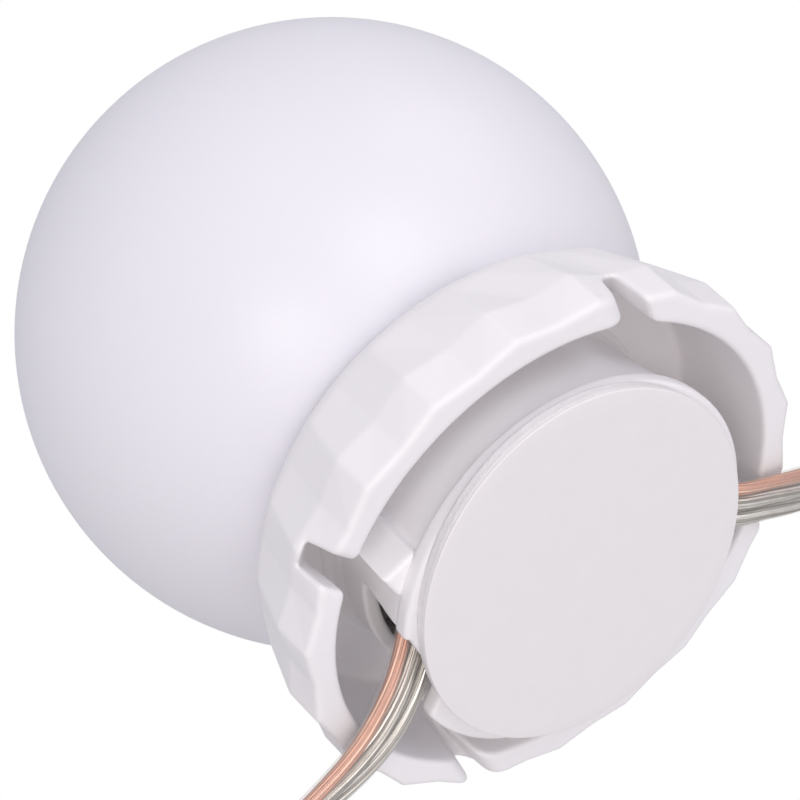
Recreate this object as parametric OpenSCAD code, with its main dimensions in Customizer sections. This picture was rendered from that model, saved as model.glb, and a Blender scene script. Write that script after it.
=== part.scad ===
// Globe lamp of a mirror light string: a frosted ball on a round collar with
// an adhesive pad, its two flat ribbon cords, and the in-plug dimmer that
// feeds it. Millimetres. The origin is the middle of the pad's face, +Z runs
// from the pad through the collar to the ball.

/* [Globe] */
// Outer diameter of the frosted ball
globe_d = 55; // [54:0.5:56]
// Height of the ball's centre above the pad's face
globe_z = 36.8; // [36.4:0.1:37.2]
// Wall of the ball
globe_wall = 1.2; // [0.9:0.1:1.5]
// Outer radius of the ball's bayonet neck
neck_r = 17.35; // [17.3:0.05:17.35]

/* [Collar] */
// Inner radius of the collar's rim
rim_r = 19.54; // [19.3:0.02:19.6]
// Height of the rim above the pad's face
rim_z = 3.0; // [2.8:0.1:3.2]
// Height of a slot's closed end above the pad's face, on the outside
slot_top = 5.9; // [5:0.1:6.4]
// Height of the underside of the collar's web
web_z = 13.0; // [12.8:0.1:13.2]

/* [Hub] */
// Long half axis of the end cap's oval flange
flange_a = 16.3; // [16:0.1:16.4]
// Short half axis of the flange
flange_b = 15.2; // [15:0.1:16]
// Radius inside the hub
hub_in_r = 13.3; // [13.2:0.1:13.4]

/* [Pad] */
// Long half axis of the oval pad
pad_a = 16.76; // [15:0.02:17]
// Short half axis of the oval pad
pad_b = 14.06; // [13:0.02:15]
// Thickness of the foam with its liner
pad_t = 1.1; // [1.1:0.1:1.1]

/* [Ribbon] */
// Width of the three-core ribbon
ribbon_w = 4.6; // [4.4:0.1:4.6]
// Thickness of the ribbon
ribbon_t = 1.55; // [1.4:0.05:1.6]

/* [Dimmer] */
// Length of the in-plug dimmer's case
case_l = 36; // [36:1:36]
// Width of the case
case_w = 17; // [17:0.5:18]
// Height of the case
case_h = 11; // [11:0.5:11]
// Travel of each button
button_travel = 0.4; // [0.3:0.05:0.4]

/* [Hidden] */
$fn = 72;

globe_r = globe_d / 2;
web_t = 1.4;                       // thickness of the collar's web
board_z = web_z + web_t;           // underside of the LED board
lip_z = 15.4;                      // top face of the collar's socket
socket_r = 17.65;                  // bore of the socket
groove_r = 15.7;                   // inner side of the neck's groove
groove_z = 13.8;                   // floor of the groove
neck_z = 14.0;                     // lower end of the ball's neck
shoulder_z = 15.5;                 // height where the neck meets the ball
lug_angles = [30, 150, 270];       // middle of each bayonet lug at rest
twist = 25;                        // turn from locked to free
// Slots: direction, start along it, middle and half width across it at the
// rim, and the same two at the closed end
slots = [[-77, 14.2, 12.0, 0.9, 12.25, 0.6], [-105, 17.2, -6.4, 1.2, -6.9, 1.0],
         [103, 12.4, 14.1, 0.8, 14.2, 0.5], [77, 15.8, -9.9, 0.9, -9.9, 0.6]];
boss_angles = [-5, 115, -125];
boss_r = 10.8;
screw_r = 0.95;
clearance_r = 1.15;

// Cable windows: middle angle and half width in degrees
windows = [[-158.5, 17], [45, 15]];
window_top = 7.8;

// Ends of the two ribbons inside the hub, and the way each one points there
feed_end = [-1.0, -4.8];
feed_dir = 29;
link_end = [3.0, 3.0];
link_dir = 225;
ribbon_z = 6.3;
pitch = ribbon_w / 3;
core_r = 0.45;
tail_run = 1.2;
// Clamp bars: middle x, y and the angle across the ribbon
clamps = [[-3.4, -5.95, 109], [5.2, 5.2, 135]];
clamp_half = 4.35;
clamp_z = 4.0;

function cores(p, d) = [for (i = [-1, 0, 1])
    [p[0] + tail_run * cos(d) - i * pitch * sin(d),
     p[1] + tail_run * sin(d) + i * pitch * cos(d)]];
function all_cores() = concat(cores(feed_end, feed_dir),
                              cores(link_end, link_dir));

// Coils: centre, inner and outer radius, bottom and top
feed_c = [-57, 25];
feed_coil_r = [19.6, 29.5];
feed_coil_z = [0.5, 9.8];
link_c = [54.3, 11.4];
link_coil_r = [21.7, 26.8];
link_coil_z = [0.5, 5.2];
tie_t = 0.5;

// Dimmer case: its middle line runs along X at this y
dim_y = 65.5;
dim_x0 = -60;
dim_x1 = dim_x0 + case_l;
split_z = case_h / 2;
wall = 1.4;
pcb_z = 4.25;
pcb_t = 1.2;
pcb_top = pcb_z + pcb_t;
button_x = [-50, -42, -34];
post_y = 5.6;

// Routes: x, y, z of the ribbon's middle, and its roll in degrees
feed_route = [
    [-1.0, -4.8, 6.3, 0], [-3.8, -6.2, 6.3, 0], [-6.6, -6.7, 6.1, -2],
    [-9.0, -6.4, 5.0, -6], [-11.2, -5.6, 4.0, -10], [-13.3, -4.7, 3.1, -9],
    [-15.5, -4.0, 2.3, -5], [-18.0, -3.4, 1.75, -4], [-21.0, -3.2, 1.4, -8],
    [-24.7, -3.2, 1.45, -15], [-28.5, -3.4, 1.75, -26],
    [-33.0, -3.6, 2.15, -42], [-38.0, -3.7, 2.6, -60],
    [-43.0, -3.7, 2.8, -78], [-48.0, -3.6, 2.85, -90]];
lead_route = [
    [-85.6, 31, 7.0, 90], [-85.6, 36, 6.0, 90], [-85.6, 42, 4.6, 90],
    [-85.6, 48, 3.4, 90], [-85.5, 53.5, 2.8, 90], [-84.0, 59.5, 2.7, 90],
    [-79.6, 63.9, 2.9, 90], [-74.5, 65.4, 3.8, 90],
    [-70.0, 65.5, 4.6, 90]];
link_route = [
    [3.0, 3.0, 6.3, 0], [6.2, 6.2, 6.3, 0], [8.6, 8.6, 5.6, 0],
    [10.6, 10.5, 4.0, 0], [12.4, 11.9, 2.7, 0], [14.7, 13.5, 1.95, 0],
    [17.0, 15.3, 1.45, 0], [20.0, 17.6, 1.3, 0], [23.2, 20.1, 1.4, 12],
    [26.4, 22.6, 1.9, 35], [29.6, 25.1, 2.6, 65], [32.5, 27.4, 2.85, 90]];
tail_route = [
    [48.4, 31.5, 2.9, 90], [52.2, 30.5, 3.0, 90], [55.4, 28.3, 3.1, 90],
    [57.6, 25.2, 3.2, 90], [58.6, 21.4, 3.4, 90], [58.3, 17.4, 3.6, 90],
    [56.7, 13.9, 3.8, 90], [54.3, 11.4, 4.0, 90]];

// ---- ribbon swept along a route ------------------------------------------
function unit(v) = v / norm(v);
function xyz(p) = [p[0], p[1], p[2]];
function tangent(r, i) = unit(xyz(r[min(i + 1, len(r) - 1)])
                              - xyz(r[max(i - 1, 0)]));
section = [for (s = [[1, 0.4], [0.82, 1], [-0.82, 1], [-1, 0.4],
                     [-1, -0.4], [-0.82, -1], [0.82, -1], [1, -0.4]])
           [s[0] * ribbon_w / 2, s[1] * ribbon_t / 2]];
function ring(r, i) = let (t = tangent(r, i),
                           s = unit(cross(t, [0, 0, 1])),
                           u = cross(s, t), a = r[i][3])
    [for (q = section)
        xyz(r[i]) + (cos(a) * q[0] - sin(a) * q[1]) * s * -1
                  + (sin(a) * q[0] + cos(a) * q[1]) * u];
module ribbon(r) {
    n = len(r);
    pts = [for (i = [0:n - 1]) each ring(r, i)];
    sides = [for (i = [0:n - 2], j = [0:7])
             let (k = (j + 1) % 8, a = 8 * i + j, b = 8 * i + k)
             each [[a, b, b + 8], [a, b + 8, a + 8]]];
    polyhedron(pts, concat([[for (j = [7:-1:0]) j]],
                           sides,
                           [[for (j = [0:7]) 8 * (n - 1) + j]]),
               convexity = 6);
}

function oval(a, b, n) = [for (i = [0:n - 1])
    [a * cos(360 * i / n), b * sin(360 * i / n)]];

// ---- lamp ------------------------------------------------------------------
module globe_diffuser() color("#ECEAF2") {
    difference() {
        rotate_extrude() difference() {
            intersection() {
                translate([0, globe_z]) circle(r = globe_r, $fn = 120);
                translate([0, shoulder_z]) square([40, 60]);
            }
            difference() {
                translate([0, globe_z])
                    circle(r = globe_r - globe_wall, $fn = 120);
                translate([-40, 0]) square([80, shoulder_z + 1.2]);
            }
            translate([-1, 0]) square([neck_r - 1.2 + 1, shoulder_z + 1.3]);
            translate([-40, -1]) square([40, 80]);
        }
    }
    difference() {
        translate([0, 0, neck_z]) cylinder(r = neck_r, h = shoulder_z - neck_z);
        translate([0, 0, neck_z - 0.1]) cylinder(r = neck_r - 1.2, h = 4);
    }
    for (a = lug_angles) rotate([0, 0, a - 8])
        translate([0, 0, neck_z])
            rotate_extrude(angle = 16) translate([neck_r - 0.2, 0])
                square([0.8, 0.5]);
}

// The closed end of a slot rises towards the inside
module slot_face(c, z1) rotate([90, 0, 90]) linear_extrude(height = 0.1)
    polygon([[c[2] - c[3] - 0.3, rim_z - 0.6], [c[2] + c[3] + 0.3, rim_z - 0.6],
             [c[2] + c[3], rim_z + 0.6], [c[4] + c[5], z1],
             [c[4] - c[5], z1], [c[2] - c[3], rim_z + 0.6]]);
module slot_cut(c) rotate([0, 0, c[0]]) hull() {
    translate([c[1], 0, 0]) slot_face(c, slot_top + 3);
    translate([c[1] + 6.5, 0, 0]) slot_face(c, slot_top - 0.6);
}

module collar_skirt() color("#E8E8EC") {
    difference() {
        rotate_extrude() polygon([
            [rim_r, rim_z + 0.3], [rim_r + 0.3, rim_z], [21.4, rim_z],
            [21.8, rim_z + 0.4], [22.05, 5.0], [22.15, 6.5], [22.1, 7.9],
            [21.8, 8.6], [21.3, 10.3], [20.95, 12.3], [20.5, 12.8],
            [17.9, lip_z], [socket_r, lip_z], [socket_r, groove_z],
            [groove_r, groove_z], [groove_r, board_z],
            [9, board_z], [9, web_z], [rim_r, web_z]]);
        for (c = slots) slot_cut(c);
        // bayonet track and the way into it, one of each for every lug
        for (a = lug_angles) {
            rotate([0, 0, a - 9]) rotate_extrude(angle = twist + 18)
                translate([17.5, 13.85]) square([0.7, 0.8]);
            rotate([0, 0, a + twist - 10]) rotate_extrude(angle = 20)
                translate([17.5, 14.3]) square([0.6, 4]);
        }
        for (a = boss_angles) rotate([0, 0, a])
            translate([boss_r, 0, web_z - 1]) cylinder(r = clearance_r, h = 4);
    }
}

module window_cut(w, r0, r1, z0, z1) rotate([0, 0, w[0] - w[1]])
    translate([0, 0, z0]) rotate_extrude(angle = 2 * w[1])
        translate([r0, 0]) square([r1 - r0, z1 - z0]);

module spool_hub() color("#E2E0E2") {
    difference() {
        union() {
            rotate_extrude() polygon([
                [hub_in_r, 2.6], [15.0, 2.6], [15.0, 3.2], [14.5, 8.5],
                [14.3, web_z], [7.2, web_z], [7.2, web_z - 1.2],
                [hub_in_r, web_z - 1.2]]);
            // corner block beside the feed ribbon's window
            translate([0, 0, 2.6]) linear_extrude(height = web_z - 2.6 - 0.1)
                difference() {
                    polygon([[-6.0, -12.0], [-6.9, -13.9], [-9.7, -14.1],
                             [-9.9, -11.8], [-8.2, -10.8]]);
                    circle(r = hub_in_r + 0.2);
                }
            for (a = boss_angles) rotate([0, 0, a])
                translate([boss_r, 0, 8]) cylinder(r = 2.2, h = web_z - 8.6);
            for (c = clamps, s = [-1, 1]) translate([c[0], c[1], 5.4])
                rotate([0, 0, c[2]]) translate([s * clamp_half, 0, 0])
                    cylinder(r = 1.9, h = web_z - 6.0);
        }
        for (w = windows) window_cut(w, 12.9, 18, 2, window_top);
        for (a = boss_angles) rotate([0, 0, a])
            translate([boss_r, 0, 8.8]) cylinder(r = screw_r, h = 6);
        for (c = clamps, s = [-1, 1]) translate([c[0], c[1], 5])
            rotate([0, 0, c[2]]) translate([s * clamp_half, 0, 0])
                cylinder(r = screw_r, h = 4.5);
    }
}

module end_cap() color("#DEDCDD") difference() {
    union() {
        translate([0, 0, pad_t]) rotate([0, 0, 115])
            linear_extrude(height = 1.5) polygon(oval(flange_a, flange_b, 72));
        rotate_extrude() polygon([
            [12.2, 2.0], [hub_in_r - 0.1, 2.0], [hub_in_r - 0.1, 4.0],
            [12.2, 4.0]]);
    }
    // notches for the feed ribbon and for the link ribbon
    translate([0, 0, -1]) linear_extrude(height = 8)
        polygon([[-11.65, -9.1], [-12.55, -3.6], [-12.9, -2.2], [-15.4, -0.9],
                 [-20, -0.9], [-20, -15], [-12.6, -10.6]]);
    rotate([0, 0, 45]) translate([13.0, -4, 0]) cube([5, 8, 5]);
    for (w = windows) window_cut([w[0], w[1] + 1], 11.8, 17, 2.4, 5);
}

module foam_pad() color("#E4E0E1")
    translate([0.31, -0.44, 0.2]) rotate([0, 0, 106])
        linear_extrude(height = pad_t - 0.2) polygon(oval(pad_a, pad_b, 72));

module release_liner() color("#E7E4E5")
    translate([0.31, -0.44, 0]) rotate([0, 0, 106])
        linear_extrude(height = 0.2) polygon(oval(pad_a, pad_b, 72));

module led_board() color("#F2F2EE") difference() {
    translate([0, 0, board_z]) cylinder(r = 15.6, h = 1);
    for (a = boss_angles) rotate([0, 0, a])
        translate([boss_r, 0, board_z - 1]) cylinder(r = clearance_r, h = 4);
    for (c = all_cores()) translate([c[0], c[1], board_z - 1])
        cylinder(r = 0.6, h = 4, $fn = 24);
}

// The LEDs stand in three groups of four between the board's screws
module leds(odd) for (k = [0:2], j = [0:3]) if ((k * 4 + j) % 2 == odd)
    rotate([0, 0, 20 + 120 * k + 25 * j])
        translate([13.2, 0, board_z + 1]) difference() {
            translate([-1.75, -1.4, 0]) cube([3.5, 2.8, 0.8]);
            translate([0, 0, 0.55]) cylinder(r = 1.1, h = 1, $fn = 32);
        }
module warm_leds() color("#F3D36B") leds(0);
module cool_leds() color("#F4F0B8") leds(1);

module led_resistors() color("#2B2B2E")
    for (p = [[-6.5, 2.5], [-6.5, -0.5], [7.0, -3.8], [-2.0, 7.2]])
        translate([p[0] - 1, p[1] - 0.6, board_z + 1]) cube([2, 1.25, 0.55]);

// Pan head screw, its head at z = 0 upwards and its shank below
module screw(len, head_r, head_h) difference() {
    union() {
        cylinder(r = head_r, h = head_h, $fn = 48);
        translate([0, 0, -len]) cylinder(r = screw_r, h = len, $fn = 48);
    }
    translate([-head_r * 0.6, -0.22, head_h * 0.45])
        cube([head_r * 1.2, 0.44, head_h]);
    translate([-0.22, -head_r * 0.6, head_h * 0.45])
        cube([0.44, head_r * 1.2, head_h]);
}

module board_screws() color("#B9BBBE") for (a = boss_angles)
    rotate([0, 0, a]) translate([boss_r, 0, board_z + 1])
        screw(6.4, 1.85, 1.2);

module cable_clamp() color("#E9E9EA") for (c = clamps)
    translate([c[0], c[1], clamp_z]) rotate([0, 0, c[2]]) difference() {
        union() {
            translate([-clamp_half, -1.7, 0]) cube([2 * clamp_half, 3.4, 1.4]);
            for (s = [-1, 1]) translate([s * clamp_half, 0, 0])
                cylinder(r = 1.9, h = 1.4);
        }
        for (s = [-1, 1]) translate([s * clamp_half, 0, -1])
            cylinder(r = clearance_r, h = 4);
    }

module clamp_screws() color("#B9BBBE") for (c = clamps, s = [-1, 1])
    translate([c[0], c[1], clamp_z]) rotate([0, 0, c[2]])
        translate([s * clamp_half, 0, 0]) rotate([180, 0, 0])
            screw(5, 1.7, 1.0);

module core_tail(p, d) for (c = cores(p, d)) {
    translate([c[0], c[1], ribbon_z]) cylinder(r = core_r, h = 9.9, $fn = 24);
    translate([c[0], c[1], ribbon_z]) sphere(r = core_r, $fn = 24);
    translate([c[0], c[1], ribbon_z]) rotate([0, 0, d + 180])
        rotate([0, 90, 0]) cylinder(r = core_r, h = tail_run, $fn = 24);
}
module core_tails() color("#D9A98F") {
    core_tail(feed_end, feed_dir);
    core_tail(link_end, link_dir);
}

module solder_joints() color("#C9CBCE") for (c = all_cores())
    translate([c[0], c[1], board_z + 1]) difference() {
        cylinder(r1 = 0.72, r2 = 0.52, h = 0.55, $fn = 32);
        translate([0, 0, -1]) cylinder(r = core_r, h = 3, $fn = 24);
    }

// ---- cords -----------------------------------------------------------------
module feed_ribbon() color("#CDB8A8") {
    ribbon(feed_route);
    ribbon(lead_route);
}
module link_ribbon() color("#CDB8A8") {
    ribbon(link_route);
    ribbon(tail_route);
}
module coil(c, r, z) translate([c[0], c[1], 0]) rotate_extrude()
    translate([r[0], z[0]]) square([r[1] - r[0], z[1] - z[0]]);
module feed_coil() color("#CDB8A8") coil(feed_c, feed_coil_r, feed_coil_z);
module link_coil() color("#CDB8A8") coil(link_c, link_coil_r, link_coil_z);
module tie(c, r, z, a, w) translate([c[0], c[1], 0]) rotate([0, 0, a - w / 2])
    rotate_extrude(angle = w) difference() {
        translate([r[0] - tie_t, z[0] - tie_t])
            square([r[1] - r[0] + 2 * tie_t, z[1] - z[0] + 2 * tie_t]);
        translate([r[0], z[0]]) square([r[1] - r[0], z[1] - z[0]]);
    }
module feed_ties() color("#F1F1F2") for (a = [20, 130, 240])
    tie(feed_c, feed_coil_r, feed_coil_z, a, 8);
module link_ties() color("#F1F1F2") for (a = [45, 168, 285])
    tie(link_c, link_coil_r, link_coil_z, a, 8);

// The connector lies inside the link coil, its mouth at the far end
module at_connector() translate([link_c[0], link_c[1], 0])
    rotate([0, 0, 218]) children();
module connector_boot() color("#F0F0F1") at_connector() hull() {
    translate([0, -1.5, 1.3]) cube([0.2, 3, 5.4]);
    translate([4.3, -2.5, 0.6]) cube([0.7, 5, 6.8]);
}
module connector_housing() color("#F0F0F1") at_connector() difference() {
    translate([5, -3, 0]) cube([13, 6, 8]);
    translate([12, -2.1, 0.9]) cube([7, 4.2, 6.2]);
    for (z = [2, 4, 6]) translate([10.5, 0, z]) rotate([0, 90, 0])
        cylinder(r = 0.4, h = 3, $fn = 24);
}
module connector_pins() color("#D8C07A") at_connector()
    for (z = [2, 4, 6]) translate([10.5, 0, z]) rotate([0, 90, 0])
        cylinder(r = 0.4, h = 6.3, $fn = 24);

// ---- in-plug dimmer --------------------------------------------------------
module case_block(z0, z1) translate([dim_x0, dim_y - case_w / 2, z0])
    linear_extrude(height = z1 - z0) polygon([
        [1.5, 0], [case_l - 1.5, 0], [case_l, 1.5],
        [case_l, case_w - 1.5], [case_l - 1.5, case_w], [1.5, case_w],
        [0, case_w - 1.5], [0, 1.5]]);
module case_room(z0, z1)
    translate([dim_x0 + wall, dim_y - case_w / 2 + wall, z0])
        cube([case_l - 2 * wall, case_w - 2 * wall, z1 - z0]);
module case_ports() {
    translate([dim_x1 - 6, dim_y - 6, split_z - 2.25]) cube([8, 12, 4.5]);
    translate([dim_x0 - 1, dim_y - 2, split_z - 3.5]) cube([4, 4, 7]);
}
module dimmer_shell_lower() color("#EFEFF0") difference() {
    union() {
        difference() {
            case_block(0, split_z);
            case_room(wall, split_z + 1);
        }
        for (x = [dim_x0 + 9, dim_x0 + 24])
            translate([x, dim_y - case_w / 2 + 1, wall - 0.1])
                cube([1.2, case_w - 2, pcb_z - wall + 0.1]);
        for (s = [-1, 1]) translate([dim_x0 + 3.0, dim_y + s * post_y, 0])
            cylinder(r = 2, h = split_z);
    }
    case_ports();
    for (s = [-1, 1]) translate([dim_x0 + 3.0, dim_y + s * post_y, 0]) {
        translate([0, 0, -1]) cylinder(r = 1.75, h = 2.2);
        translate([0, 0, -1]) cylinder(r = clearance_r, h = 8);
    }
}
module dimmer_shell_upper() color("#F2F2F3") difference() {
    union() {
        difference() {
            case_block(split_z, case_h);
            case_room(split_z - 1, case_h - wall);
        }
        for (s = [-1, 1]) translate([dim_x0 + 3.0, dim_y + s * post_y, split_z])
            cylinder(r = 2, h = case_h - split_z - 0.5);
    }
    case_ports();
    for (x = button_x) translate([x, dim_y, case_h - wall - 1])
        cylinder(r = 2.9, h = 4);
    for (s = [-1, 1]) translate([dim_x0 + 3.0, dim_y + s * post_y, split_z - 1])
        cylinder(r = screw_r, h = 4.5);
}
module dimmer_board() color("#2F7D4F")
    translate([dim_x0 + 6, dim_y - 6.3, pcb_z])
        cube([dim_x1 - 5.5 - dim_x0 - 6, 12.6, pcb_t]);
module dimmer_chips() color("#26262A") {
    for (p = [[-46, 61.2, 5, 2.6, 1.4], [-38, 69.8, 5, 2.6, 1.4],
              [-46, 69.8, 3, 2, 1.1], [-38, 61.2, 3, 2, 1.1]])
        translate([p[0] - p[2] / 2, p[1] - p[3] / 2, pcb_top])
            cube([p[2], p[3], p[4]]);
    translate([-33.4, 61.4, pcb_top]) cylinder(r = 1.2, h = 2.6, $fn = 32);
}
module dimmer_wires() color("#C98C6E") for (y = [-1.5, 0, 1.5])
    translate([-57, dim_y + y, pcb_top + 0.45]) rotate([0, 90, 0])
        cylinder(r = 0.45, h = 4.5, $fn = 24);
module tact_switches() color("#3A3A3E") for (x = button_x) difference() {
    translate([x - 2.25, dim_y - 2.25, pcb_top]) cube([4.5, 4.5, 1.6]);
    translate([x, dim_y, pcb_top + 0.25]) cylinder(r = 1.08, h = 3, $fn = 48);
}
module cap(x) translate([x, dim_y, 0]) {
    translate([0, 0, 8.5]) cylinder(r = 3.5, h = 1.0);
    translate([0, 0, 9.0]) cylinder(r = 2.55, h = case_h + 0.7 - 9.0);
    translate([0, 0, case_h + 0.7]) cylinder(r1 = 2.55, r2 = 2.2, h = 0.3);
}
module plunger(x) translate([x, dim_y, pcb_top + 0.25 + button_travel + 0.1])
    cylinder(r = 1.0, h = 8.5 - (pcb_top + 0.35 + button_travel), $fn = 48);
module power_button() color("#DADCE0") cap(button_x[0]);
module colour_button() color("#DADCE0") cap(button_x[1]);
module dim_button() color("#DADCE0") cap(button_x[2]);
module power_plunger() color("#17171A") plunger(button_x[0]);
module colour_plunger() color("#17171A") plunger(button_x[1]);
module dim_plunger() color("#17171A") plunger(button_x[2]);
module dimmer_boot() color("#EAEAEC") {
    hull() {
        translate([-70, dim_y - 1.5, 1.8]) cube([0.3, 3, 5.6]);
        translate([-60.5, dim_y - 3.6, 1.3]) cube([0.5, 7.2, 8.2]);
    }
    translate([-60, dim_y - 2, split_z - 3.5]) cube([1.4, 4, 7]);
    translate([-58.6, dim_y - 2.8, split_z - 3.5]) cube([1.6, 5.6, 7]);
}
module dimmer_screws() color("#B9BBBE") for (s = [-1, 1])
    translate([dim_x0 + 3.0, dim_y + s * post_y, 1.2]) rotate([180, 0, 0])
        screw(6.5, 1.6, 0.9);
module usb_shell() color("#C6C8CC") difference() {
    translate([dim_x1 - 5.5, dim_y - 6, split_z - 2.25]) cube([18, 12, 4.5]);
    translate([dim_x1 - 6, dim_y - 5.7, split_z - 1.95]) cube([20, 11.4, 3.9]);
    for (s = [-1, 1]) translate([dim_x1 + 6, dim_y + s * 2.9 - 1.1, split_z])
        cube([2.2, 2.2, 4]);
}
module usb_tongue() color("#F4F4F2")
    translate([dim_x1 - 5.5, dim_y - 5.7, split_z - 1.95])
        cube([16.8, 11.4, pcb_top - split_z + 1.95]);
module usb_contacts() color("#D8B866") for (y = [-3.5, -1, 1, 3.5])
    translate([dim_x1 - 7, dim_y + y - 0.55, pcb_top]) cube([15, 1.1, 0.18]);

globe_diffuser();
collar_skirt();
spool_hub();
end_cap();
foam_pad();
release_liner();
led_board();
warm_leds();
cool_leds();
led_resistors();
board_screws();
cable_clamp();
clamp_screws();
core_tails();
solder_joints();
feed_ribbon();
feed_coil();
feed_ties();
link_ribbon();
link_coil();
link_ties();
connector_housing();
connector_pins();
connector_boot();
dimmer_shell_lower();
dimmer_shell_upper();
dimmer_board();
dimmer_chips();
dimmer_wires();
tact_switches();
power_button();
colour_button();
dim_button();
power_plunger();
colour_plunger();
dim_plunger();
dimmer_boot();
dimmer_screws();
usb_shell();
usb_tongue();
usb_contacts();
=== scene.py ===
"""Globe lamp of a mirror light string, with its two flat ribbon cords, its
connector and its in-plug dimmer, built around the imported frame.

Shapes are worked out in millimetres and turned into metres when a mesh is
made. The collar, the hub and the end cap are signed distance fields that are
polygonised on their own grids; the cords are swept tubes with their twisted
strands inside; the rest is lathed, or is a CAD shape with its edges rounded.
"""

import math

import bmesh
import bpy
import numpy as np
from mathutils import Matrix


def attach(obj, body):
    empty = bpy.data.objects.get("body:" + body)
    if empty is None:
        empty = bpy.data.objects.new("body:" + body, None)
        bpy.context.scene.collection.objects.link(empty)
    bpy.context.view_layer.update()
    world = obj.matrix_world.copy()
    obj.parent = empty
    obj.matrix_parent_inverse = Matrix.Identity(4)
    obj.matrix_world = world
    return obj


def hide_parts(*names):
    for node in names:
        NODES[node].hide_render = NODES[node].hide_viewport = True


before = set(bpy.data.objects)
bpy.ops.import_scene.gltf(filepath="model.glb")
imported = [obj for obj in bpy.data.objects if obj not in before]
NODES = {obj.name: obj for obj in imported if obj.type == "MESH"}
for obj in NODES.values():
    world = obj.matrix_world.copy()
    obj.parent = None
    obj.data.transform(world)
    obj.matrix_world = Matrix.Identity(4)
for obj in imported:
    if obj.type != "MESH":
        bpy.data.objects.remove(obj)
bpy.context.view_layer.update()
MM = 0.001
scene = bpy.context.scene


# ---------------------------------------------------------------- camera ----
def make_camera():
    data = bpy.data.cameras.new("camera")
    data.lens = 72.0
    data.sensor_width = 36.0
    data.clip_start = 0.005
    data.clip_end = 20.0
    cam = bpy.data.objects.new("camera", data)
    scene.collection.objects.link(cam)
    rot = Matrix(((0.68912, 0.72465, 0.0),
                  (0.48960, -0.46560, -0.73723),
                  (-0.53423, 0.50804, -0.67564)))
    cam.matrix_world = (Matrix.Translation((-0.00005, -0.09889, -0.06479))
                        @ rot.to_4x4())
    scene.camera = cam
    return cam


make_camera()


# -------------------------------------------------------------- materials ---
def nodes_of(m):
    m.use_nodes = True
    t = m.node_tree
    return t, t.nodes["Principled BSDF"]


def material(name, colour, rough, vary=0.03, scale=260.0, bump=0.0,
             bump_scale=900.0, rough_vary=0.05, metallic=0.0, specular=0.5,
             detail=3.0, coat=0.0, subsurface=0.0, sss_radius=0.001,
             sheen=0.0, alpha=1.0, tint=None, stretch=(1, 1, 1)):
    """A Principled material whose colour, roughness and surface vary."""
    m = bpy.data.materials.new(name)
    t, p = nodes_of(m)
    n = t.nodes
    co = n.new("ShaderNodeTexCoord")
    mp = n.new("ShaderNodeMapping")
    mp.inputs["Scale"].default_value = stretch
    t.links.new(co.outputs["Object"], mp.inputs["Vector"])
    big = n.new("ShaderNodeTexNoise")
    big.inputs["Scale"].default_value = scale
    big.inputs["Detail"].default_value = detail
    t.links.new(mp.outputs["Vector"], big.inputs["Vector"])
    ramp = n.new("ShaderNodeValToRGB")
    ramp.color_ramp.elements[0].position = 0.3
    ramp.color_ramp.elements[1].position = 0.7
    low = [max(0.0, c * (1 - vary)) for c in colour]
    if tint:
        low = [max(0.0, c * (1 - vary) + t_ * vary)
               for c, t_ in zip(colour, tint)]
    high = [min(1.0, c * (1 + vary * 0.5)) for c in colour]
    ramp.color_ramp.elements[0].color = (*low, 1)
    ramp.color_ramp.elements[1].color = (*high, 1)
    t.links.new(big.outputs["Fac"], ramp.inputs["Fac"])
    t.links.new(ramp.outputs["Color"], p.inputs["Base Color"])
    if rough_vary:
        rr = n.new("ShaderNodeMapRange")
        rr.inputs["To Min"].default_value = max(0.02, rough - rough_vary)
        rr.inputs["To Max"].default_value = min(1.0, rough + rough_vary)
        t.links.new(big.outputs["Fac"], rr.inputs["Value"])
        t.links.new(rr.outputs["Result"], p.inputs["Roughness"])
    else:
        p.inputs["Roughness"].default_value = rough
    if bump:
        fine = n.new("ShaderNodeTexNoise")
        fine.inputs["Scale"].default_value = bump_scale
        fine.inputs["Detail"].default_value = 2.0
        t.links.new(mp.outputs["Vector"], fine.inputs["Vector"])
        b = n.new("ShaderNodeBump")
        b.inputs["Strength"].default_value = 1.0
        b.inputs["Distance"].default_value = bump
        t.links.new(fine.outputs["Fac"], b.inputs["Height"])
        t.links.new(b.outputs["Normal"], p.inputs["Normal"])
    p.inputs["Metallic"].default_value = metallic
    p.inputs["Specular IOR Level"].default_value = specular
    if coat:
        p.inputs["Coat Weight"].default_value = coat
        p.inputs["Coat Roughness"].default_value = 0.15
    if subsurface:
        p.inputs["Subsurface Weight"].default_value = subsurface
        p.inputs["Subsurface Radius"].default_value = (1.0, 0.8, 0.7)
        p.inputs["Subsurface Scale"].default_value = sss_radius
    if sheen:
        p.inputs["Sheen Weight"].default_value = sheen
    if alpha < 1:
        p.inputs["Alpha"].default_value = alpha
    return m


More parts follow.
